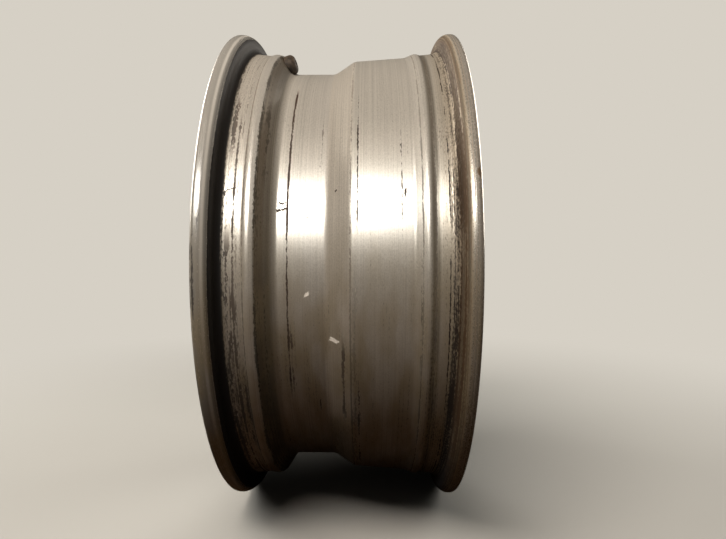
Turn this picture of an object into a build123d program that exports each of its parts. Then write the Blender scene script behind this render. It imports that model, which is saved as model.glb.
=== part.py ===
# Cast aluminium car wheel with its snap-in tyre valve, in millimetres.
# The wheel stands as it does on a car: the spin axis is Y, the inboard side is +Y
# and the outboard face looks along -Y. The origin is the centre of the hub's mounting face.
from build123d import *
from math import cos, radians, sin, tan
import os

os.makedirs("parts", exist_ok=True)

# Rim contour, seen in section
seat_diameter = 436.6
rim_width = 177.8
mount_offset = 45.0
flange_height = 17.3
flange_width = 13.6
flange_curve = 9.0
flange_edge = 3.2
seat_taper = 5.0
heel_curve = 6.5
hump_distance = 22.2
hump_rise = 1.7
hump_run = 4.2
hump_fall = 5.0
hump_curve = 6.0
hump_toe_curve = 2.5

# Drop well, which lies towards the outboard side
well_depth = 19.0
well_start = 38.2
well_width = 40.5
well_wall_angle = 58.0
well_wall_curve = 14.0
well_ramp_run = 18.7
well_ramp_rise = 11.9
well_ramp_curve = 11.0

# Barrel between the well and the inboard seat
barrel_end = 32.4
barrel_rise = 3.2
barrel_end_curve = 8.0

# Metal behind the contour
barrel_wall = 5.3
well_outer_wall = 7.5
seat_wall = 7.6
inner_curve = 12.0
flange_face = 9.6
lip_face = 4.0
lip_slope_run = 9.6
lip_slope_depth = 3.0
lip_curve = 6.0
lip_corner_curve = 1.5
flange_back = 4.0
inner_corner_drop = 1.6
inner_seat_rise = 1.2

# Hub and spokes
spoke_count = 5
hub_radius = 78.0
hub_thickness = 43.0
pad_step = 8.0
pad_step_depth = 7.0
spoke_end_thickness = 32.0
front_dish = 8.0
disc_root_step = 1.0
spoke_root_width = 56.0
spoke_end_width = 48.0
spoke_root_radius = 96.0
spoke_end_setback = 7.0
window_inner_radius = 90.0
window_reach = 1.9
window_inner_curve = 18.0
window_outer_curve = 14.0
window_front_edge = 4.0

# Pockets cast into the back of each spoke and of the hub pad
spoke_skin = 9.0
spoke_pocket_inner = 104.0
spoke_pocket_outer = 184.0
spoke_pocket_width = 26.0
pad_pocket_radius = 8.5
pad_pocket_depth = 22.0

# Centre bore, cap bore and bolt holes
centre_bore_radius = 33.3
centre_bore_depth = 20.0
cap_bore_radius = 30.0
cap_recess_radius = 34.0
cap_recess_depth = 4.0
bolt_circle = 112.0
bolt_hole_radius = 7.25
bolt_land = 9.0
bolt_seat_radius = 12.0
bolt_seat_angle = 60.0
bolt_access_radius = 15.5

# Valve hole and the flat faces cut for the valve on both sides of the wall
valve_angle = 70.0
valve_tilt = 17.0
valve_height = 8.2
valve_seat_depth = 1.6
valve_hole_radius = 5.65
valve_plate = 4.0
spot_face_radius = 12.0
spot_face_reach = 40.0
valve_clearance_radius = 9.0
valve_clearance_reach = 60.0

# Rubber valve body
button_radius = 9.3
button_height = 10.0
button_curve = 5.0
button_lip_curve = 0.8
shoulder_radius = 7.6
shoulder_height = 2.5
shoulder_drop = 3.0
rubber_neck_radius = 5.9
rubber_neck_height = 17.0
rubber_end_radius = 4.9
rubber_height = 22.0

# Brass stem moulded into the rubber
stem_root_radius = 3.2
stem_thread_radius = 3.85
stem_height = 33.0
stem_chamfer = 0.6
stem_cover = 1.0
stem_foot_radius = 4.6
stem_foot_height = 1.4
stem_foot_depth = 7.0
air_bore_radius = 1.5
core_bore_radius = 1.9
core_bore_depth = 18.5
core_thread_radius = 2.4
core_thread_depth = 8.0
core_taper = 0.9

# Valve core
running_gap = 0.08
plug_top = 0.9
plug_height = 3.6
plug_slot = 1.7
plug_slot_depth = 2.0
barrel_radius = 1.6
barrel_bore_radius = 1.25
barrel_height = 8.6
barrel_floor = 0.8
seal_height = 1.1
pin_radius = 0.45
pin_proud = 0.5
pin_collar_radius = 1.1
pin_collar_height = 0.5
pin_collar_drop = 0.35
cup_radius = 1.45
cup_height = 1.3
cup_gap = 0.05
spring_wire_radius = 0.14
spring_wire_sides = 8
spring_turns = 6.0
spring_gap = 0.06

# Screw cap
cap_radius = 4.9
cap_height = 11.6
cap_wall_gap = 0.08
cap_end_curve = 1.2
cap_flutes = 16
cap_flute_radius = 0.55
cap_flute_end = 2.2
cap_skirt = 1.6
cap_seal_thickness = 1.2
cap_seal_radius = 3.5
cap_seal_hole_radius = 1.3
cap_seal_gap = 0.05
cap_end_thickness = 1.3

# Values worked out from those above
seat_radius = seat_diameter / 2
half_width = rim_width / 2
crest_radius = seat_radius + flange_height
edge_y = half_width + flange_width
seat_slope = tan(radians(seat_taper))
seat_end = hump_distance - hump_run
seat_end_radius = seat_radius - seat_end * seat_slope
hump_radius = seat_end_radius + hump_rise
hump_toe_radius = seat_end_radius
well_radius = seat_radius - well_depth
hump_toe_y = hump_distance + hump_fall
well_wall_run = (hump_toe_radius - well_radius) / tan(radians(well_wall_angle))
well_wall_foot = hump_toe_y + well_wall_run
well_end_y = -half_width + well_start + well_width
ramp_end_y = well_end_y + well_ramp_run
ramp_end_radius = well_radius + well_ramp_rise
barrel_end_y = half_width - barrel_end
barrel_end_radius = ramp_end_radius + barrel_rise
wall_shift_y = well_outer_wall / sin(radians(well_wall_angle))
inner_well_radius = well_radius - barrel_wall
inner_wall_foot = well_wall_foot - wall_shift_y + barrel_wall / tan(radians(well_wall_angle))
inner_seat_radius = seat_end_radius - seat_wall
inner_corner_radius = inner_seat_radius - inner_corner_drop
inner_wall_top = inner_wall_foot - (inner_corner_radius - inner_well_radius) / tan(
    radians(well_wall_angle)
)

# The rim's section lies in a plane through the spin axis, with radius across and the
# distance from the rim's middle up the page.
rim_section = Plane(origin=(0, mount_offset, 0), x_dir=(1, 0, 0), z_dir=(0, 0, 1))

# Each corner is a radius, a distance from the rim's middle and the curve that rounds it.
air_side = [
    (crest_radius, -edge_y, flange_edge),
    (crest_radius, -half_width, flange_curve),
    (seat_radius, -half_width, heel_curve),
    (seat_end_radius, -half_width + seat_end, hump_toe_curve),
    (hump_radius, -half_width + hump_distance, hump_curve),
    (hump_toe_radius, -half_width + hump_toe_y, hump_toe_curve),
    (well_radius, -half_width + well_wall_foot, well_wall_curve),
    (well_radius, well_end_y, well_ramp_curve),
    (ramp_end_radius, ramp_end_y, well_ramp_curve),
    (barrel_end_radius, barrel_end_y, barrel_end_curve),
    (hump_radius, half_width - hump_distance, hump_curve),
    (seat_end_radius, half_width - seat_end, hump_toe_curve),
    (seat_radius, half_width, heel_curve),
    (crest_radius, half_width, flange_curve),
    (crest_radius, edge_y, flange_edge),
]
brake_side = [
    (crest_radius - flange_face, edge_y, lip_corner_curve),
    (seat_radius - barrel_wall, half_width + flange_back, lip_curve),
    (barrel_end_radius - barrel_wall, barrel_end_y, inner_curve),
    (ramp_end_radius - barrel_wall, ramp_end_y + barrel_wall / 2, inner_curve),
    (inner_well_radius, well_end_y + barrel_wall / 2, inner_curve),
    (inner_well_radius, -half_width + inner_wall_foot, inner_curve),
    (inner_corner_radius, -half_width + inner_wall_top, lip_curve),
    (inner_seat_radius + inner_seat_rise, -half_width + heel_curve, inner_curve),
    (crest_radius - lip_face - lip_slope_run, -edge_y + lip_slope_depth, lip_curve),
    (crest_radius - lip_face, -edge_y, lip_corner_curve),
]
rim_corners = air_side + brake_side

# The disc of the wheel before its windows are cut: hub pad, spokes and the root at the rim
pad_y = -mount_offset
hub_front_y = pad_y - hub_thickness
disc_front_y = hub_front_y - front_dish
disc_rim_back_y = disc_front_y + spoke_end_thickness
disc_outer_radius = inner_seat_radius + seat_wall / 2
disc_front_radius = crest_radius - lip_face - lip_slope_run
spoke_end_radius = inner_seat_radius - spoke_end_setback
window_outer_radius = inner_seat_radius + window_reach
bolt_seat_top = bolt_land + (bolt_seat_radius - bolt_hole_radius) / tan(
    radians(bolt_seat_angle / 2)
)
hub_front = Plane.XZ.offset(hub_thickness)

# One window, drawn about the X axis. The spokes stand half a pitch to each side of it.
half_pitch = radians(180 / spoke_count)


def spoke_edge(along, width):
    """Point on a spoke's edge, at a distance along the spoke's middle line."""
    across = width / 2
    x = along * cos(half_pitch) + across * sin(half_pitch)
    y = along * sin(half_pitch) - across * cos(half_pitch)
    return (x, y)


root_x, root_y = spoke_edge(spoke_root_radius, spoke_root_width)
end_x, end_y = spoke_edge(spoke_end_radius, spoke_end_width)

with BuildSketch() as window_outline:
    with BuildLine():
        ThreePointArc((root_x, -root_y), (window_inner_radius, 0), (root_x, root_y))
        Line((root_x, root_y), (end_x, end_y))
        ThreePointArc((end_x, end_y), (window_outer_radius, 0), (end_x, -end_y))
        Line((end_x, -end_y), (root_x, -root_y))
    make_face()
    fillet(window_outline.vertices().group_by(Axis.X)[0], window_inner_curve)
    fillet(window_outline.vertices().group_by(Axis.X)[-1], window_outer_curve)

# Valve axis: it leaves the well wall outboard and inwards, in the plane of one window's middle
outwards = Vector(cos(radians(valve_angle)), 0, sin(radians(valve_angle)))
inboard = Vector(0, 1, 0)
around = outwards.cross(inboard)
stem_direction = outwards * -sin(radians(valve_tilt)) + inboard * -cos(radians(valve_tilt))
valve_wall_radius = well_radius + valve_height
valve_wall_y = well_wall_foot - valve_height / tan(radians(well_wall_angle)) - half_width
valve_wall = outwards * valve_wall_radius + inboard * (mount_offset + valve_wall_y)
valve_seat = valve_wall + stem_direction * valve_seat_depth
valve_across = Plane(origin=valve_seat, x_dir=around, z_dir=stem_direction)
valve_section = Plane(
    origin=valve_seat, x_dir=around, z_dir=around.cross(stem_direction)
)
valve_axis = Axis(valve_seat, stem_direction)

# Wheel, cast in one piece and turned: rim, spokes and hub
with BuildPart() as wheel:
    with BuildSketch(rim_section):
        with BuildLine():
            Polyline(
                (0, pad_y),
                (hub_radius, pad_y),
                (hub_radius + pad_step, pad_y - pad_step_depth),
                (spoke_end_radius, disc_rim_back_y),
                (disc_outer_radius, disc_rim_back_y - disc_root_step),
                (disc_outer_radius, heel_curve - half_width),
                (disc_front_radius, disc_front_y),
                (hub_radius, hub_front_y),
                (0, hub_front_y),
                close=True,
            )
        make_face()
    revolve(axis=Axis.Y)
    with BuildSketch(Plane.XZ.offset(-mount_offset)):
        with PolarLocations(0, spoke_count, start_angle=valve_angle):
            add(window_outline.sketch)
    extrude(amount=2 * edge_y, mode=Mode.SUBTRACT)
    disc_cones = wheel.faces().filter_by(GeomType.CONE)
    front_windows = disc_cones.sort_by(Axis.Y)[0].inner_wires()
    fillet(front_windows.edges(), window_front_edge)
    with BuildSketch(Plane.XZ.offset(hub_thickness + front_dish - spoke_skin)):
        with PolarLocations(0, spoke_count, start_angle=valve_angle + 180 / spoke_count):
            with Locations(((spoke_pocket_inner + spoke_pocket_outer) / 2, 0)):
                SlotOverall(spoke_pocket_outer - spoke_pocket_inner, spoke_pocket_width)
    extrude(amount=-hub_thickness - front_dish, mode=Mode.SUBTRACT)
    with BuildSketch(rim_section):
        with BuildLine():
            FilletPolyline(
                *[(corner[0], corner[1]) for corner in rim_corners],
                radius=[corner[2] for corner in rim_corners],
                close=True,
            )
        make_face()
    revolve(axis=Axis.Y)
    with BuildSketch(Plane.XZ):
        with PolarLocations(
            bolt_circle / 2, spoke_count, start_angle=valve_angle + 180 / spoke_count
        ):
            Circle(pad_pocket_radius)
    extrude(amount=pad_pocket_depth, mode=Mode.SUBTRACT)
    with Locations(hub_front):
        CounterBoreHole(cap_bore_radius, cap_recess_radius, cap_recess_depth)
        with PolarLocations(bolt_circle / 2, spoke_count, start_angle=valve_angle):
            CounterBoreHole(
                bolt_hole_radius, bolt_access_radius, hub_thickness - bolt_seat_top
            )
    with Locations(hub_front.offset(bolt_seat_top - hub_thickness)):
        with PolarLocations(bolt_circle / 2, spoke_count, start_angle=valve_angle):
            CounterSinkHole(
                bolt_hole_radius, bolt_seat_radius, counter_sink_angle=bolt_seat_angle
            )
    with BuildSketch(Plane.XZ):
        Circle(centre_bore_radius)
    extrude(amount=centre_bore_depth, mode=Mode.SUBTRACT)
    with BuildSketch(valve_across):
        Circle(spot_face_radius)
    extrude(amount=-spot_face_reach, mode=Mode.SUBTRACT)
    with BuildSketch(valve_across.offset(valve_plate)):
        Circle(valve_clearance_radius)
    extrude(amount=valve_clearance_reach, mode=Mode.SUBTRACT)
    with BuildSketch(valve_across):
        Circle(valve_hole_radius)
    extrude(amount=valve_plate, both=True, mode=Mode.SUBTRACT)

wheel.part.label = "wheel"
export_step(wheel.part, "parts/wheel.step")

# Valve body, moulded rubber that snaps into the hole: button, groove, shoulder and neck
foot_top = stem_foot_height - stem_foot_depth
cover_foot = rubber_height - stem_cover
rubber_corners = [
    (stem_root_radius, -button_height, 0),
    (button_radius, -button_height, button_curve),
    (button_radius, 0, button_lip_curve),
    (valve_hole_radius, 0, 0),
    (valve_hole_radius, valve_plate, 0),
    (shoulder_radius, valve_plate, 0),
    (shoulder_radius, valve_plate + shoulder_height, shoulder_drop),
    (rubber_neck_radius, rubber_neck_height, shoulder_drop),
    (rubber_end_radius, rubber_height, 0),
    (stem_thread_radius, rubber_height, 0),
    (stem_thread_radius, cover_foot, 0),
    (stem_root_radius, cover_foot, 0),
    (stem_root_radius, foot_top, 0),
    (stem_foot_radius, foot_top, 0),
    (stem_foot_radius, -stem_foot_depth, 0),
    (stem_root_radius, -stem_foot_depth, 0),
]
with BuildPart() as valve_body:
    with BuildSketch(valve_section):
        with BuildLine():
            FilletPolyline(
                *[(corner[0], corner[1]) for corner in rubber_corners],
                radius=[corner[2] for corner in rubber_corners],
                close=True,
            )
        make_face()
    revolve(axis=valve_axis)

valve_body.part.label = "valve_body"
export_step(valve_body.part, "parts/valve_body.step")

# Valve stem, turned brass: a foot held in the rubber, a threaded end and a stepped bore
core_thread_foot = stem_height - core_thread_depth
core_bore_top = core_thread_foot - core_taper
core_bore_foot = stem_height - core_bore_depth
with BuildPart() as valve_stem:
    with BuildSketch(valve_section):
        with BuildLine():
            Polyline(
                (air_bore_radius, -stem_foot_depth),
                (stem_foot_radius, -stem_foot_depth),
                (stem_foot_radius, foot_top),
                (stem_root_radius, foot_top),
                (stem_root_radius, cover_foot),
                (stem_thread_radius, cover_foot),
                (stem_thread_radius, stem_height - stem_chamfer),
                (stem_thread_radius - stem_chamfer, stem_height),
                (core_thread_radius, stem_height),
                (core_thread_radius, core_thread_foot),
                (core_bore_radius, core_bore_top),
                (core_bore_radius, core_bore_foot),
                (air_bore_radius, core_bore_foot - core_taper),
                close=True,
            )
        make_face()
    revolve(axis=valve_axis)

valve_stem.part.label = "valve_stem"
export_step(valve_stem.part, "parts/valve_stem.step")

# Core plug, the screw at the top of the valve core, with two flats for the core key
pin_hole_radius = pin_radius + running_gap
plug_top_height = stem_height - plug_top
plug_foot = plug_top_height - plug_height
with BuildPart() as core_plug:
    with BuildSketch(valve_across.offset(plug_foot)):
        Circle(core_thread_radius)
        Circle(pin_hole_radius, mode=Mode.SUBTRACT)
    extrude(amount=plug_height)
    with BuildSketch(valve_across.offset(plug_top_height)):
        Circle(core_thread_radius)
        Rectangle(2 * core_thread_radius, plug_slot, mode=Mode.SUBTRACT)
    extrude(amount=-plug_slot_depth, mode=Mode.SUBTRACT)

core_plug.part.label = "core_plug"
export_step(core_plug.part, "parts/core_plug.step")

# Core barrel, the tube below the plug: a collar above its seal and a floor for the spring
barrel_foot = plug_foot - barrel_height
seal_top = core_bore_top + seal_height
collar_top = seal_top + seal_height / 2
with BuildPart() as core_barrel:
    with BuildSketch(valve_section):
        with BuildLine():
            Polyline(
                (pin_hole_radius, barrel_foot),
                (barrel_radius, barrel_foot),
                (barrel_radius, seal_top),
                (core_thread_radius - running_gap, seal_top),
                (core_thread_radius - running_gap, collar_top),
                (barrel_radius, collar_top),
                (barrel_radius, plug_foot),
                (barrel_bore_radius, plug_foot),
                (barrel_bore_radius, barrel_foot + barrel_floor),
                (pin_hole_radius, barrel_foot + barrel_floor),
                close=True,
            )
        make_face()
    revolve(axis=valve_axis)

core_barrel.part.label = "core_barrel"
export_step(core_barrel.part, "parts/core_barrel.step")

# Core seal, a ring that closes the gap between the barrel and the taper in the stem
with BuildPart() as core_seal:
    with BuildSketch(valve_section):
        with BuildLine():
            Polyline(
                (barrel_radius, core_bore_top),
                (core_bore_radius, core_bore_top),
                (core_thread_radius, core_thread_foot),
                (core_thread_radius, seal_top),
                (barrel_radius, seal_top),
                close=True,
            )
        make_face()
    revolve(axis=valve_axis)

core_seal.part.label = "core_seal"
export_step(core_seal.part, "parts/core_seal.step")

# Core pin, a steel rod with a collar above the spring and a head below the cup
pin_tip = plug_top_height + pin_proud
pin_collar_top = plug_foot - pin_collar_drop
pin_collar_foot = pin_collar_top - pin_collar_height
cup_top = barrel_foot - cup_gap
cup_foot = cup_top - cup_height
pin_head_foot = cup_foot - pin_collar_height
with BuildPart() as core_pin:
    with BuildSketch(valve_section):
        with BuildLine():
            Polyline(
                (0, pin_head_foot),
                (pin_collar_radius, pin_head_foot),
                (pin_collar_radius, cup_foot),
                (pin_radius, cup_foot),
                (pin_radius, pin_collar_foot),
                (pin_collar_radius, pin_collar_foot),
                (pin_collar_radius, pin_collar_top),
                (pin_radius, pin_collar_top),
                (pin_radius, pin_tip),
                (0, pin_tip),
                close=True,
            )
        make_face()
    revolve(axis=valve_axis)

core_pin.part.label = "core_pin"
export_step(core_pin.part, "parts/core_pin.step")

# Core cup, the rubber washer on the pin that closes the foot of the barrel
with BuildPart() as core_cup:
    with BuildSketch(valve_across.offset(cup_foot)):
        Circle(cup_radius)
        Circle(pin_radius, mode=Mode.SUBTRACT)
    extrude(amount=cup_height)

core_cup.part.label = "core_cup"
export_step(core_cup.part, "parts/core_cup.step")

# Core spring, wound from steel wire, between the barrel's floor and the pin's collar
spring_radius = (pin_radius + barrel_bore_radius) / 2
spring_foot = barrel_foot + barrel_floor + spring_wire_radius + spring_gap
spring_length = pin_collar_foot - spring_foot - spring_wire_radius - spring_gap
with BuildPart() as core_spring:
    with BuildLine() as coil:
        Helix(
            pitch=spring_length / spring_turns,
            height=spring_length,
            radius=spring_radius,
            center=valve_across.offset(spring_foot).origin,
            direction=stem_direction,
        )
    with BuildSketch(Plane(origin=coil.line @ 0, z_dir=coil.line % 0)):
        RegularPolygon(spring_wire_radius, spring_wire_sides)
    sweep(path=coil.line, is_frenet=True)

core_spring.part.label = "core_spring"
export_step(core_spring.part, "parts/core_spring.step")

# Cap seal, the rubber washer in the cap that sits on the end of the stem
cap_seal_foot = stem_height + cap_seal_gap
cap_seal_top = cap_seal_foot + cap_seal_thickness
with BuildPart() as cap_seal:
    with BuildSketch(valve_across.offset(cap_seal_foot)):
        Circle(cap_seal_radius)
        Circle(cap_seal_hole_radius, mode=Mode.SUBTRACT)
    extrude(amount=cap_seal_thickness)

cap_seal.part.label = "cap_seal"
export_step(cap_seal.part, "parts/cap_seal.step")

# Valve cap, moulded plastic, fluted for the fingers and screwed on the stem
cap_bore_wall = stem_thread_radius + cap_wall_gap
cap_top = cap_seal_top + cap_end_thickness
cap_foot = cap_top - cap_height
with BuildPart() as valve_cap:
    with BuildSketch(valve_section):
        with BuildLine():
            Polyline(
                (0, cap_seal_top),
                (cap_bore_wall, cap_seal_top),
                (cap_bore_wall, cap_foot),
                (cap_radius, cap_foot),
                (cap_radius, cap_top - cap_end_curve),
                (cap_radius - cap_end_curve, cap_top),
                (0, cap_top),
                close=True,
            )
        make_face()
    revolve(axis=valve_axis)
    with BuildSketch(valve_across.offset(cap_foot + cap_skirt)):
        with PolarLocations(cap_radius + cap_flute_radius / 2, cap_flutes):
            Circle(cap_flute_radius)
    extrude(amount=cap_height - cap_skirt - cap_flute_end, mode=Mode.SUBTRACT)

valve_cap.part.label = "valve_cap"
export_step(valve_cap.part, "parts/valve_cap.step")
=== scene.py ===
from math import cos, hypot, pi, radians, sin, tan

import bmesh
import bpy
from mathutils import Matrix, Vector


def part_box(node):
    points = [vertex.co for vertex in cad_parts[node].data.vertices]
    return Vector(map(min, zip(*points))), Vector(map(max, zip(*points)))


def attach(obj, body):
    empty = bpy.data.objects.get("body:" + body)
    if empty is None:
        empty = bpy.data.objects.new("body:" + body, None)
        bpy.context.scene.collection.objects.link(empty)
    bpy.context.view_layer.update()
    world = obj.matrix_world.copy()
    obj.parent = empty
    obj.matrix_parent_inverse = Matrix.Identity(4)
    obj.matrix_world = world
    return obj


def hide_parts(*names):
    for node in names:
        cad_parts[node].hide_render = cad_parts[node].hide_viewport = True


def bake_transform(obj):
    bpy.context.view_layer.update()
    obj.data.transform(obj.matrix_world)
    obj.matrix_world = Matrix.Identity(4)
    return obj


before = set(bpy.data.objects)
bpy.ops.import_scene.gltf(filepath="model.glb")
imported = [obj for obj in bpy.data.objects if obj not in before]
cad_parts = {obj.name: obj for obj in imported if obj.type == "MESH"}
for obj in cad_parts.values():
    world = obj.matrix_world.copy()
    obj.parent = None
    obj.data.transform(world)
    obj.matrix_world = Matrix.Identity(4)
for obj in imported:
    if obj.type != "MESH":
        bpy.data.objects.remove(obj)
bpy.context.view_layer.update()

# Wheel: rim, spokes and hub are one aluminium casting. The tread side was turned on a lathe, so it
# is spun here as one smooth skin, and joined to the cast face, spokes and brake side. Outlines give
# a distance along the axis from the rim's middle, a radius and a corner's curve, in millimetres.
RIM_MIDDLE = Vector((0, 0.045, 0))
AXLE = Vector((0, 1, 0))
SKIN_STEPS = 288
CURVE_STEP = radians(8)
TREAD_SIDE = [
    (-101.0, 226.8, 0),
    (-102.5, 231.6, 1.5),
    (-102.5, 235.6, 3.2),
    (-88.9, 235.6, 9),
    (-88.9, 218.3, 6.5),
    (-70.9, 216.725, 2.5),
    (-66.7, 218.425, 6),
    (-61.7, 216.725, 2.5),
    (-50.81, 199.3, 7),
    (-10.2, 199.3, 11),
    (8.5, 211.2, 11),
    (56.5, 214.4, 8),
    (66.7, 218.425, 6),
    (70.9, 216.725, 2.5),
    (88.9, 218.3, 6.5),
    (88.9, 235.6, 9),
    (102.5, 235.6, 3.2),
    (102.5, 226.0, 1.5),
    (97.7, 219.5, 0),
]
WALL_MIDDLE = [
    (88.0, 215.5, 0),
    (72.0, 213.9, 0),
    (67.0, 214.0, 0),
    (57.0, 211.8, 0),
    (9.8, 208.5, 0),
    (-9.0, 196.8, 0),
    (-52.8, 196.8, 0),
    (-62.5, 212.0, 0),
    (-71.0, 213.2, 0),
    (-82.0, 214.0, 0),
    (-88.8, 218.4, 0),
]
SKIN_LAP = 0.6
ROUND_THE_OUTSIDE = [(-108.6, 224.4, 0), (-110, 245, 0), (110, 245, 0), (104.1, 214.7, 0)]
VALVE_SEAT = Vector((0.0708092, -0.0124660, 0.1945466))
STEM_AXIS = Vector((-0.0999971, -0.9563048, -0.2747397))
VALVE_POCKET = [
    (-30, 0, 0),
    (-30, 12.03, 0),
    (0.02, 12.03, 0),
    (0.02, 5.66, 0),
    (4.02, 5.66, 0),
    (4.02, 9.02, 0),
    (60, 9.02, 0),
    (60, 0, 0),
]
POCKET_STEPS = 72
SHARP_ON_WHEEL = radians(28)


def piece_of(shape, name):
    """Object in the scene, made from a finished shape."""
    mesh = bpy.data.meshes.new(name)
    shape.to_mesh(mesh)
    shape.free()
    piece = bpy.data.objects.new(name, mesh)
    bpy.context.scene.collection.objects.link(piece)
    return piece


def turned_ring(name, outline, steps, centre, axis):
    """Ring turned round an axis from a closed outline whose corners may be rounded."""
    shape = bmesh.new()
    across = axis.orthogonal().normalized()
    corners = [shape.verts.new(centre + (axis * y + across * r) / 1000) for y, r, _ in outline]
    shape.faces.new(corners)
    for corner, (_, _, curve) in zip(corners, outline):
        if curve:
            bend = corner.calc_edge_angle()
            bmesh.ops.bevel(
                shape,
                geom=[corner],
                offset=curve / 1000 * tan(bend / 2),
                offset_type="OFFSET",
                segments=max(3, round(bend / CURVE_STEP)),
                profile=0.5,
                affect="VERTICES",
                material=-1,
            )
    bmesh.ops.delete(shape, geom=shape.faces[:], context="FACES_ONLY")
    bmesh.ops.spin(
        shape,
        geom=shape.verts[:] + shape.edges[:],
        axis=axis,
        cent=centre,
        angle=2 * pi,
        steps=steps,
        use_merge=True,
    )
    bmesh.ops.remove_doubles(shape, verts=shape.verts, dist=1e-7)
    bmesh.ops.recalc_face_normals(shape, faces=shape.faces)
    return piece_of(shape, name)


def smooth(piece, sharp_angle):
    """Smooth shading, broken at edges that turn more than an angle."""
    shape = bmesh.new()
    shape.from_mesh(piece.data)
    for face in shape.faces:
        face.smooth = True
    for edge in shape.edges:
        edge.smooth = len(edge.link_faces) == 2 and edge.calc_face_angle(0) < sharp_angle
    shape.to_mesh(piece.data)
    shape.free()


def smooth_copy(cad_name, name, sharp_angle):
    """Copy of a CAD node with its triangles joined, smooth up to an angle between faces."""
    shape = bmesh.new()
    shape.from_mesh(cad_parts[cad_name].data)
    bmesh.ops.remove_doubles(shape, verts=shape.verts, dist=1e-6)
    piece = piece_of(shape, name)
    smooth(piece, sharp_angle)
    return piece


def combine(piece, operation, other):
    """Join a closed piece with another, or cut the other out of it, and drop the other."""
    step = piece.modifiers.new(operation, "BOOLEAN")
    step.operation = operation
    step.solver = "MANIFOLD"
    step.object = other
    bpy.context.view_layer.update()
    result = bpy.data.meshes.new_from_object(piece.evaluated_get(bpy.context.evaluated_depsgraph_get()))
    piece.modifiers.clear()
    piece.data = result
    bpy.data.objects.remove(other)


# The chuck cuts the casting away outside the middle of its wall, and the skin overlaps what is left
inner = [(y, r - SKIN_LAP, curve) for y, r, curve in WALL_MIDDLE]
outer = [(y, r + SKIN_LAP, curve) for y, r, curve in WALL_MIDDLE]
skin = turned_ring("skin", TREAD_SIDE + inner, SKIN_STEPS, RIM_MIDDLE, AXLE)
chuck = turned_ring(
    "chuck",
    [TREAD_SIDE[-1]] + outer + [TREAD_SIDE[0][:2] + (0,)] + ROUND_THE_OUTSIDE,
    SKIN_STEPS,
    RIM_MIDDLE,
    AXLE,
)
pocket = turned_ring("pocket", VALVE_POCKET, POCKET_STEPS, VALVE_SEAT, STEM_AXIS)
wheel = smooth_copy("wheel", "wheel_casting", SHARP_ON_WHEEL)
combine(wheel, "DIFFERENCE", chuck)
combine(wheel, "UNION", skin)
combine(wheel, "DIFFERENCE", pocket)
smooth(wheel, SHARP_ON_WHEEL)


def linear(code):
    """Linear RGBA of an sRGB hex colour."""
    parts = [int(code[i : i + 2], 16) / 255 for i in (1, 3, 5)]
    return [c / 12.92 if c <= 0.04045 else ((c + 0.055) / 1.055) ** 2.4 for c in parts] + [1.0]


def node(tree, kind, inputs=(), output=0, **settings):
    """Add a shader node with its settings, fill or link its inputs, and give one of its outputs."""
    made = tree.nodes.new("ShaderNode" + kind)
    for key, value in settings.items():
        setattr(made, key, value)
    for key, source in inputs.items() if isinstance(inputs, dict) else enumerate(inputs):
        if isinstance(source, bpy.types.NodeSocket):
            tree.links.new(source, made.inputs[key])
        elif isinstance(source, str):
            made.inputs[key].default_value = linear(source)
        else:
            made.inputs[key].default_value = source
    return made.outputs[output] if made.outputs else None


def mixed(tree, share, under, over, blend_type="MIX"):
    """Colour with a share of a second colour over it."""
    colours = {0: share, 6: under, 7: over}
    return node(tree, "Mix", colours, 2, data_type="RGBA", blend_type=blend_type)


# Turned aluminium that has gone dull: part bare metal and part matt oxide, which gives a soft bright
# band where it faces the lamp. The lathe's marks and the stains run round the rim. The real marks
# are some 0.1 mm apart, too fine to show, so they are drawn 0.35 mm wide.
turned = bpy.data.materials.new("turned_aluminium")
turned.use_nodes = True
tree = turned.node_tree
metal = tree.nodes["Principled BSDF"]

# Places on the tread side: millimetres from the rim's middle, and degrees round it, 0 towards the
# camera and 90 at the top. On the far side they jump from 180 to -180, and the tones jump there too.
place = node(tree, "TexCoord", output="Object")
axes = node(tree, "SeparateXYZ", [place]).node.outputs
millimetres = node(tree, "MapRange", [axes["Y"], RIM_MIDDLE.y, RIM_MIDDLE.y + 1, 0, 1000], clamp=False)
angle = node(tree, "Math", [axes["Z"], axes["X"]], operation="ARCTAN2")
degrees = node(tree, "Math", [angle, 180 / pi], operation="MULTIPLY")
WIDEST = 105
band = node(tree, "MapRange", [millimetres, -WIDEST, WIDEST])

# Patterns, with their sizes across and round the rim in millimetres, their detail and their place
grain = {}
for name, across, round_rim, detail, seed in (
    ("streaks", 0.9, 160, 3, 0),
    ("turning", 0.35, 240, 2, 3),
    ("specks", 1.0, 2.6, 2, 7),
    ("patches", 14, 45, 3, 11),
    ("sand", 0.9, 1.3, 3, 19),
    ("ragged", 1.1, 3.2, 4, 23),
    ("lumps", 4, 26, 5, 29),
):
    stretched = node(
        tree,
        "Mapping",
        {
            "Vector": place,
            "Location": (seed, seed, seed),
            "Scale": (1000 / round_rim, 1000 / across, 1000 / round_rim),
        },
    )
    grain[name] = node(tree, "TexNoise", {"Vector": stretched, "Scale": 1.0, "Detail": detail})

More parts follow.
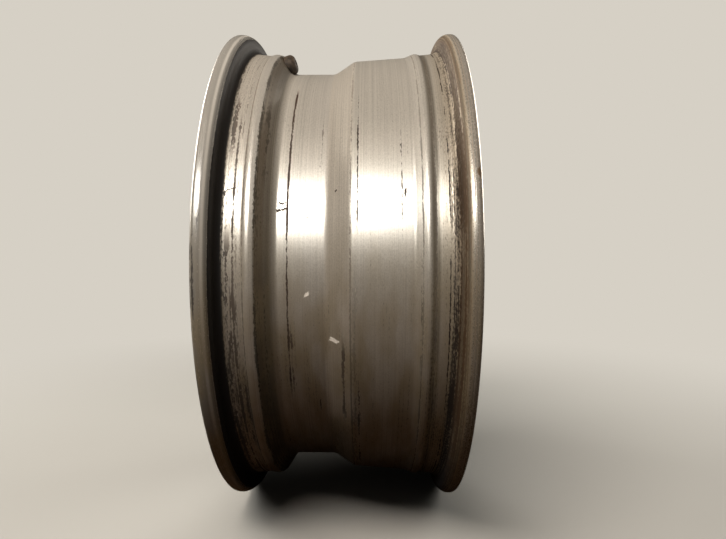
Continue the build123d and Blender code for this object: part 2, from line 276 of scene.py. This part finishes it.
# Bands round the rim, each a row of distances from its middle with the value there. The tones of
# the metal hold painted shade: darker on the well's outboard wall (-61 to -51 mm) and in the heels
# of both flanges, where the real rim lies in shade. They are also a little lighter on the slope out
# of the well, and darker grey round the inboard hump's flank. The dirt and stain bands draw the
# corner at the outboard flange's heel (-90 to -86 mm) nearly black.
bands = {}
for name, stops in (
    (
        "metal",
        [
            (-105, "#b4b3ae"),
            (-90.8, "#b4b3ae"),
            (-89.8, "#7d776d"),
            (-85, "#a8a193"),
            (-82, "#d0cbc1"),
            (-70, "#d4d0c7"),
            (-62.5, "#dbd8d1"),
            (-61, "#776e61"),
            (-57, "#776e62"),
            (-55.8, "#857f75"),
            (-53.5, "#7f796f"),
            (-51, "#b4b0a7"),
            (-46, "#d2cfc7"),
            (-12, "#d4d1ca"),
            (-9.5, "#dad5cb"),
            (8, "#dad5cb"),
            (10, "#cfccc4"),
            (67, "#d2cfc7"),
            (69.5, "#8f8a80"),
            (73.5, "#8a857b"),
            (75, "#c2bdb2"),
            (88, "#b8ad9b"),
            (90, "#8d8271"),
            (94, "#aca291"),
            (96, "#cfcac0"),
            (105, "#c6c3bc"),
        ],
    ),
    (
        "dirt",
        [
            (-105, 0.1),
            (-90.8, 0.1),
            (-89.8, 1.0),
            (-86.5, 0.95),
            (-84, 0.3),
            (-81, 0.26),
            (-71, 0.2),
            (-68, 0.06),
            (-63, 0.06),
            (-61, 0.24),
            (-50, 0.14),
            (-41, 0.14),
            (-36, 0.12),
            (-12, 0.1),
            (-9, 0.12),
            (8, 0.12),
            (12, 0.1),
            (60, 0.12),
            (68, 0.2),
            (73, 0.22),
            (82.5, 0.2),
            (84, 0.42),
            (87, 0.42),
            (88.5, 0.5),
            (90.5, 0.4),
            (93, 0.2),
            (105, 0.14),
        ],
    ),
    (
        "stain",
        [
            (-105, "#3d3a36"),
            (-91, "#100d0b"),
            (-83, "#15110d"),
            (-80, "#33251a"),
            (-70, "#35291d"),
            (-60, "#322d24"),
            (-40, "#332318"),
            (60, "#332d26"),
            (76, "#33281c"),
            (80.5, "#21180f"),
            (87, "#21180f"),
            (89, "#3f2f1f"),
            (97, "#5d4a34"),
            (105, "#4b4236"),
        ],
    ),
    ("bare", [(-92.5, 0.35), (-91, 0.62), (105, 0.62)]),
    ("rough", [(-91, 0.24), (-89, 0.33), (92, 0.33), (97, 0.25)]),
    ("marked", [(-91, 0.25), (-90, 1.0), (95, 1.0), (97, 0.5)]),
):
    ramp = node(tree, "ValToRGB", [band]).node
    points = ramp.color_ramp.elements
    points.remove(points[1])
    for i, (y, value) in enumerate(stops):
        point = points.new((y + WIDEST) / (2 * WIDEST)) if i else points[0]
        point.position = (y + WIDEST) / (2 * WIDEST)
        point.color = linear(value) if isinstance(value, str) else (value, value, value, 1)
    bands[name] = ramp.outputs["Color"]

# Dirt: its band with three patterns, which add 1.15 on average. The mask also rises a little on the
# lower half, so the rim is darker towards the bottom
dirt = node(tree, "Math", [bands["dirt"], 1.5, -1.55], operation="MULTIPLY_ADD")
for name, share in (("streaks", 0.9), ("patches", 0.6), ("specks", 0.8)):
    dirt = node(tree, "Math", [grain[name], share, dirt], operation="MULTIPLY_ADD")
low_down = node(tree, "MapRange", [degrees, 10, -25, 0, 0.1])
dirt = node(tree, "Math", [dirt, low_down], operation="ADD")
dirt = node(tree, "MapRange", [dirt, 0, 0.35])


def stained_line(y, width, share, dark, low, high):
    """Broken, ragged line round the rim at a distance from its middle, between two angles."""
    off = node(tree, "Math", [millimetres, y], operation="SUBTRACT")
    off = node(tree, "Math", [off], operation="ABSOLUTE")
    inside = node(tree, "MapRange", [off, 0, width, 1, 0], clamp=False)
    # The two patterns add 3.3 on average, so a line whose share is 1 is mostly whole
    edge = node(tree, "Math", [grain["ragged"], 2.6, inside], operation="MULTIPLY_ADD")
    edge = node(tree, "Math", [grain["lumps"], 4.0, edge], operation="MULTIPLY_ADD")
    mask = node(tree, "MapRange", [edge, 4.25 - share, 4.55 - share, 0, dark])
    for limit in (
        node(tree, "MapRange", [inside, -0.6, 0.1]),
        node(tree, "MapRange", [degrees, low - 3, low + 3]),
        node(tree, "MapRange", [degrees, high + 3, high - 3]),
    ):
        mask = node(tree, "Math", [mask, limit], operation="MULTIPLY")
    return mask


def spot(y, degree, across, round_rim):
    """Ragged spot at a distance from the rim's middle and an angle, with half its sizes."""
    # The patches push it round the rim by 4 degrees on average; a degree there is some 3.6 mm
    middle = degree + 4
    side = node(tree, "MapRange", [millimetres, y, y + across, 0, 1], clamp=False)
    level = node(tree, "Math", [grain["patches"], 8, degrees], operation="MULTIPLY_ADD")
    rise = node(tree, "MapRange", [level, middle, middle + round_rim / 3.6, 0, 1], clamp=False)
    apart = node(tree, "CombineXYZ", [side, rise])
    apart = node(tree, "VectorMath", [apart], output="Value", operation="LENGTH")
    edge = node(tree, "Math", [grain["sand"], 1.6, apart], operation="MULTIPLY_ADD")
    return node(tree, "MapRange", [edge, 1.85, 1.55])


# Stains: a distance from the middle, half a width, how much is covered, how dark, and two angles
for y, width, share, dark, low, high in (
    (-101.8, 0.9, 0.5, 0.8, -60, 8),
    (-100.0, 1.2, 0.2, 0.9, -9, 12),
    (-96.5, 2.2, 0.1, 0.8, 7, 12),
    (-84.5, 1.8, 0.4, 0.9, -180, 180),
    (-81.5, 2.8, 0.55, 0.9, -60, 7),
    # This line is drawn thinner from 7 to 24 degrees, in the key lamp's bright band: a little painted
    # highlight over the stain
    (-81.5, 2.8, -0.3, 0.9, 7, 24),
    (-81.5, 2.8, 0.55, 0.9, 24, 40),
    (-78.5, 1.0, 0.5, 0.9, -60, -2),
    (-76.5, 1.0, 0.8, 0.9, -70, 34),
    (-76.0, 2.4, 0.4, 0.9, -34, -4),
    (-74.0, 0.6, 0.2, 0.7, -180, 180),
    (-71.5, 1.4, 0.4, 0.9, -42, -18),
    (-69.7, 0.55, 0.9, 0.75, -180, 180),
    (-61.4, 1.4, 0.4, 0.85, -180, 180),
    (-57.0, 2.6, 0.1, 0.7, 20, 40),
    (-39.6, 0.8, 1.1, 1.0, -29, 52),
    (-37.6, 2.2, 0.2, 0.9, -29, -12),
    (-14.7, 1.6, 0.0, 0.7, 22, 38),
    (3.0, 1.6, 0.7, 0.9, -36, -14),
    (8.7, 0.7, 0.9, 0.7, -180, 180),
    (11.5, 3.0, 0.2, 0.5, -60, 0),
    (14.0, 0.9, 0.4, 1.0, 10, 42),
    (14.5, 1.8, 0.2, 0.9, -60, -24),
    (47.0, 0.9, 0.3, 0.9, 8, 30),
    (61.0, 1.2, 0.3, 0.8, -20, 5),
    (62.0, 0.6, 0.8, 0.7, -180, 180),
    (71.5, 0.8, 0.7, 0.7, -180, 180),
    (81.5, 0.7, 0.5, 1.0, -180, 180),
    (84.5, 2.4, 0.0, 0.9, -36, 6),
    (85.5, 0.8, 0.2, 0.9, -180, 180),
    (89.3, 1.2, 1.0, 0.75, -180, 180),
    (91.5, 0.5, 0.9, 0.8, -180, 180),
    (93.2, 0.5, 0.8, 0.7, -180, 180),
    (96.4, 0.4, 0.8, 0.6, -180, 180),
    (98.6, 0.4, 0.6, 0.5, -180, 180),
    (100.5, 0.4, 0.8, 0.5, -180, 180),
):
    line = stained_line(y, width, share, dark, low, high)
    dirt = node(tree, "Math", [dirt, line], operation="MAXIMUM")

# Single marks: a distance from the middle, an angle, and half a size across and round the rim
for y, degree, across, round_rim in (
    (-79, 16.3, 5.5, 0.6),
    (-44, 14.6, 3.2, 1.2),
    (-42, 13.0, 3.2, 1.1),
    (-46.5, 12.8, 2.2, 1.6),
    (-24, 10.5, 2.0, 0.5),
    (-17, -33, 0.5, 8),
    (-2.5, 16.2, 0.9, 0.9),
    (49.5, 17.1, 0.9, 3.0),
    (100, 18.5, 1.8, 3.2),
):
    dirt = node(tree, "Math", [dirt, spot(y, degree, across, round_rim)], operation="MAXIMUM")
flakes = [spot(-4.2, -14.9, 4.4, 2.3), spot(-24.9, -5.6, 2.2, 1.6)]
paint_flakes = node(tree, "Math", flakes, operation="MAXIMUM")

# Shade of the lathe's marks: lines round the rim, and rings on the upright walls of the flanges
marks = node(tree, "Math", [grain["turning"], 0.6], operation="MULTIPLY")
marks = node(tree, "Math", [grain["sand"], 0.4, marks], operation="MULTIPLY_ADD")
shade = node(tree, "MapRange", [marks, 0.32, 0.6, 0.68, 1.05])
shade = node(tree, "Mix", {0: bands["marked"], 2: 0.94, 3: shade})
from_middle = node(tree, "Math", [millimetres], operation="ABSOLUTE")
upright = node(tree, "MapRange", [from_middle, 87, 88.6])
from_axle = node(tree, "CombineXYZ", [axes["X"], 0.0, axes["Z"]])
from_axle = node(tree, "VectorMath", [from_axle], output="Value", operation="LENGTH")
rings = node(tree, "TexNoise", {"W": from_axle, "Scale": 1000 / 1.8, "Detail": 2.0}, noise_dimensions="1D")
rings = node(tree, "MapRange", [rings, 0.35, 0.65, 0.55, 1.3])
rings = node(tree, "Mix", {0: upright, 2: 1.0, 3: rings})
shade = node(tree, "Math", [shade, rings], operation="MULTIPLY")

# Metal tones with their painted shade, times the marks. Then a painted reflection: a patchy yellow
# tint on the lower half for brown surroundings mirrored there. Stains over it, and flakes of white
# paint over those
colour = mixed(tree, 1.0, bands["metal"], shade, "MULTIPLY")
painted_brown_reflection = node(tree, "MapRange", [grain["patches"], 0.36, 0.62, 0.1, 0.75])
lower = node(tree, "MapRange", [degrees, 12, -16])
painted_brown_reflection = node(tree, "Math", [painted_brown_reflection, lower], operation="MULTIPLY")
colour = mixed(tree, painted_brown_reflection, colour, "#a89c80")
colour = mixed(tree, dirt, colour, bands["stain"])
colour = mixed(tree, paint_flakes, colour, "#f1eee8")

# Stains and paint cover the shine, and stains and grains are rougher than the metal
covered = node(tree, "Math", [dirt, paint_flakes], operation="MAXIMUM")
shine = node(tree, "MapRange", [covered, 0, 1, bands["bare"], 0])
rough = node(tree, "Math", [dirt, 0.3, bands["rough"]], operation="MULTIPLY_ADD")
rough = node(tree, "Math", [grain["sand"], 0.16, rough], operation="MULTIPLY_ADD")
rough = node(tree, "Math", [rough, 0.08], operation="SUBTRACT")
grooves = node(tree, "Bump", {"Height": grain["turning"], "Strength": 0.25, "Distance": 0.0002})
for name, source in (("Base Color", colour), ("Metallic", shine), ("Roughness", rough), ("Normal", grooves)):
    tree.links.new(source, metal.inputs[name])

# Silver paint on the cast face: flakes under a clear coat, so it is softly bright and slightly
# blue. Behind the spokes it is covered by brown brake dust, thicker towards the inboard side.
painted = bpy.data.materials.new("silver_paint")
painted.use_nodes = True
tree = painted.node_tree
place = node(tree, "TexCoord", output="Object")
along = node(tree, "SeparateXYZ", [place], output="Y")
clouds = node(tree, "TexNoise", {"Vector": place, "Scale": 1000 / 25, "Detail": 5.0})
grit = node(tree, "TexNoise", {"Vector": place, "Scale": 1000 / 1.2, "Detail": 2.0})
inward = node(tree, "MapRange", [along, -0.035, 0.06, -0.57, 0.23])
dust = node(tree, "Math", [clouds, 0.5, inward], operation="MULTIPLY_ADD")
dust = node(tree, "Math", [grit, 0.4, dust], operation="MULTIPLY_ADD")
dust = node(tree, "MapRange", [dust, 0, 0.6, 0, 0.85])
for name, source in (
    ("Base Color", mixed(tree, dust, "#b4b7ba", "#4b4035")),
    ("Metallic", node(tree, "MapRange", [dust, 0, 1, 0.45, 0])),
    ("Roughness", node(tree, "MapRange", [dust, 0, 1, 0.36, 0.71])),
):
    tree.links.new(source, tree.nodes["Principled BSDF"].inputs[name])


def middle_of_wall(y):
    """Radius halfway through the rim's wall, at a distance from the rim's middle in millimetres."""
    line = [TREAD_SIDE[0]] + WALL_MIDDLE[::-1] + [TREAD_SIDE[-1]]
    for (y0, r0, _), (y1, r1, _) in zip(line, line[1:]):
        if y <= y1:
            return r0 + (r1 - r0) * (y - y0) / (y1 - y0)
    return line[-1][1]


wheel.data.materials.clear()
wheel.data.materials.append(turned)
wheel.data.materials.append(painted)
for face in wheel.data.polygons:
    middle = (face.center - RIM_MIDDLE) * 1000
    face.material_index = 0 if hypot(middle.x, middle.z) > middle_of_wall(middle.y) else 1
even = wheel.modifiers.new("even_shading", "WEIGHTED_NORMAL")
even.keep_sharp = True
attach(wheel, "rim")
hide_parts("wheel")

# Valve body: black rubber moulded round the brass stem and snapped into the hole from inside the
# tyre. Old rubber is matt, and brown dust has dried on its button.
SHARP_ON_VALVE = radians(35)
OLD_RUBBER = "#1f1913"


def plain_material(name, colour, metallic, roughness):
    """Material of one colour, shine and roughness."""
    made = bpy.data.materials.new(name)
    made.use_nodes = True
    shader = made.node_tree.nodes["Principled BSDF"]
    shader.inputs["Base Color"].default_value = linear(colour)
    shader.inputs["Metallic"].default_value = metallic
    shader.inputs["Roughness"].default_value = roughness
    return made


def dress(cad_name, name, material):
    """Smooth copy of a CAD node in a material, standing for the node in a material slot."""
    piece = smooth_copy(cad_name, name, SHARP_ON_VALVE)
    piece.data.materials.clear()
    piece.data.materials.append(material)
    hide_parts(cad_name)
    return piece


rubber = plain_material("valve_rubber", OLD_RUBBER, 0.0, 0.7)
tree = rubber.node_tree
place = node(tree, "TexCoord", output="Object")
dried = node(tree, "TexNoise", {"Vector": place, "Scale": 1000 / 3, "Detail": 5.0})
dried = node(tree, "MapRange", [dried, 0.3, 0.8])
dusty = mixed(tree, dried, OLD_RUBBER, "#54483b")
tree.links.new(dusty, tree.nodes["Principled BSDF"].inputs["Base Color"])
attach(dress("valve_body", "rubber_body", rubber), "rim")

# Brass parts of the valve, turned on a lathe: the stem moulded into the rubber, and the core's
# plug and barrel that screw into it. The cap's thread is cut into the stem's end, as one groove
# with flanks of 30 degrees. Brass is a warm yellow metal.
THREAD_PITCH = 0.794
THREAD_RADIUS = 3.85
THREAD_START = 22.8
THREAD_END = 33.4
GROOVE_DEPTH = 0.43
GROOVE_FLOOR = 0.2
GROOVE_FLANK = radians(30)
GROOVE_LIFT = 0.05
STEPS_A_TURN = 32

brass = plain_material("turned_brass", "#c8a35a", 1.0, 0.3)
brass_pieces = {}
for cad_name, name in (
    ("valve_stem", "brass_stem"),
    ("core_plug", "brass_plug"),
    ("core_barrel", "brass_barrel"),
):
    brass_pieces[name] = dress(cad_name, name, brass)
    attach(brass_pieces[name], "rim")

# The groove's section reaches a little out of the brass, and is wound up round the stem's end
shape = bmesh.new()
outwards = STEM_AXIS.orthogonal().normalized()
floor_radius = THREAD_RADIUS - GROOVE_DEPTH
mouth = GROOVE_FLOOR / 2 + (GROOVE_DEPTH + GROOVE_LIFT) * tan(GROOVE_FLANK)
tool = [
    shape.verts.new(VALVE_SEAT + (outwards * radius + STEM_AXIS * (THREAD_START + along)) / 1000)
    for radius, along in (
        (floor_radius, -GROOVE_FLOOR / 2),
        (floor_radius, GROOVE_FLOOR / 2),
        (THREAD_RADIUS + GROOVE_LIFT, mouth),
        (THREAD_RADIUS + GROOVE_LIFT, -mouth),
    )
]
turns = (THREAD_END - THREAD_START) / THREAD_PITCH
bmesh.ops.spin(
    shape,
    geom=[shape.faces.new(tool)],
    axis=STEM_AXIS,
    cent=VALVE_SEAT,
    dvec=STEM_AXIS * THREAD_PITCH / 1000 / STEPS_A_TURN,
    angle=2 * pi * turns,
    steps=round(turns * STEPS_A_TURN),
)
bmesh.ops.recalc_face_normals(shape, faces=shape.faces)
combine(brass_pieces["brass_stem"], "DIFFERENCE", piece_of(shape, "groove"))
smooth(brass_pieces["brass_stem"], SHARP_ON_VALVE)

# Core pin and its spring, drawn steel, a grey and bright metal. The pin slides in the barrel, and
# the spring is squeezed between the barrel's floor and the pin's collar. Here the spring is one
# still piece and does not shorten with the pin.
steel = plain_material("drawn_steel", "#b9b9b7", 1.0, 0.3)
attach(dress("core_pin", "steel_pin", steel), "pin")
spring = dress("core_spring", "steel_spring", steel)
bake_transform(spring)

# Seals, soft black rubber with next to no shine: the ring round the core, the cup that closes the
# barrel, and the washer in the cap. They are pressed or slipped onto the pieces that carry them.
seal_rubber = plain_material("seal_rubber", "#181818", 0.0, 0.6)
for cad_name, name, body in (
    ("core_seal", "seal_ring", "rim"),
    ("core_cup", "seal_cup", "pin"),
    ("cap_seal", "seal_washer", "seal"),
):
    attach(dress(cad_name, name, seal_rubber), body)

# Valve cap: black plastic, injection moulded, screwed onto the stem by hand. Its skin has the
# satin shine of the mould.
cap_plastic = plain_material("moulded_plastic", "#141414", 0.0, 0.4)
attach(dress("valve_cap", "plastic_cap", cap_plastic), "cap")

# Floor and light: a plain pale floor that fades into the backdrop, but is dark brown to the metal.
# The key lamp, above the camera and to its left, gives only the bright band. The side and ceiling
# lamps light the tread side without being mirrored in it, and two more light the face and the back.
BACKDROP = "#d6d0c5"
LIT_POINT = Vector((0.1, 0.045, 0))
bpy.ops.mesh.primitive_plane_add(size=40, location=(0, 0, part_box("wheel")[0].z))
floor = bpy.context.active_object
floor.name = "floor"
pale = bpy.data.materials.new("pale_floor")
pale.use_nodes = True
tree = pale.node_tree
tree.nodes.clear()
place = node(tree, "TexCoord", output="Object")
reach = node(tree, "VectorMath", [place], output="Value", operation="LENGTH")
fade = node(tree, "MapRange", [reach, 0.25, 1.1], interpolation_type="SMOOTHSTEP")
near = node(tree, "BsdfDiffuse", {"Color": "#9d9f9e"})
far = node(tree, "Emission", {"Color": BACKDROP})
dark = node(tree, "BsdfDiffuse", {"Color": "#261b12"})
seen = node(tree, "LightPath", output="Is Camera Ray")
faded = node(tree, "MixShader", [fade, near, far])
node(tree, "OutputMaterial", [node(tree, "MixShader", [seen, dark, faded])])
floor.data.materials.append(pale)

world = bpy.data.worlds.new("studio")
bpy.context.scene.world = world
world.use_nodes = True
tree = world.node_tree
tree.nodes.clear()
seen = node(tree, "LightPath", output="Is Camera Ray")
room = node(tree, "Background", {"Color": "#cfc8bc", "Strength": 0.09})
backdrop = node(tree, "Background", {"Color": BACKDROP})
node(tree, "OutputWorld", [node(tree, "MixShader", [seen, room, backdrop])])

for name, energy, width, height, place, tint, lights, shines in (
    ("key", 13, 0.5, 0.34, (1.25, -0.24, 0.72), "#fffaf3", False, True),
    ("side", 30, 0.8, 0.6, (0.85, -0.26, 1.15), "#fff0e0", True, False),
    ("ceiling", 4, 1.2, 0.8, (0.4, -0.2, 1.6), "#fff0e0", True, False),
    ("face", 30, 1.2, 1.0, (-0.55, -1.35, 0.75), "#fff6ea", True, True),
    ("brake", 20, 1.2, 1.0, (-0.9, 1.3, 0.6), "#fff6ea", True, True),
):
    lamp_data = bpy.data.lights.new(name, "AREA")
    lamp_data.shape = "RECTANGLE"
    lamp_data.energy = energy
    lamp_data.size = width
    lamp_data.size_y = height
    lamp_data.color = linear(tint)[:3]
    lamp = bpy.data.objects.new(name, lamp_data)
    lamp.visible_diffuse = lights
    lamp.visible_glossy = shines
    lamp.location = place
    lamp.rotation_euler = (LIT_POINT - lamp.location).to_track_quat("-Z", "Y").to_euler()
    bpy.context.scene.collection.objects.link(lamp)

# Camera: the photograph's viewpoint, 0.6 m from the axle and a little above it. It looks straight at
# the tread side, and down by 2.3 degrees.
camera_data = bpy.data.cameras.new("camera")
camera_data.sensor_width = 36.0
camera_data.lens = 27.3
camera = bpy.data.objects.new("camera", camera_data)
camera.location = (0.6137, 0.0675, 0.0185)
yaw = radians(0.62)
pitch = radians(-2.28)
forward = Vector((-cos(yaw) * cos(pitch), -sin(yaw) * cos(pitch), sin(pitch)))
camera.rotation_euler = forward.to_track_quat("-Z", "Y").to_euler()
bpy.context.scene.collection.objects.link(camera)
bpy.context.scene.camera = camera
bpy.context.scene.view_settings.view_transform = "Standard"
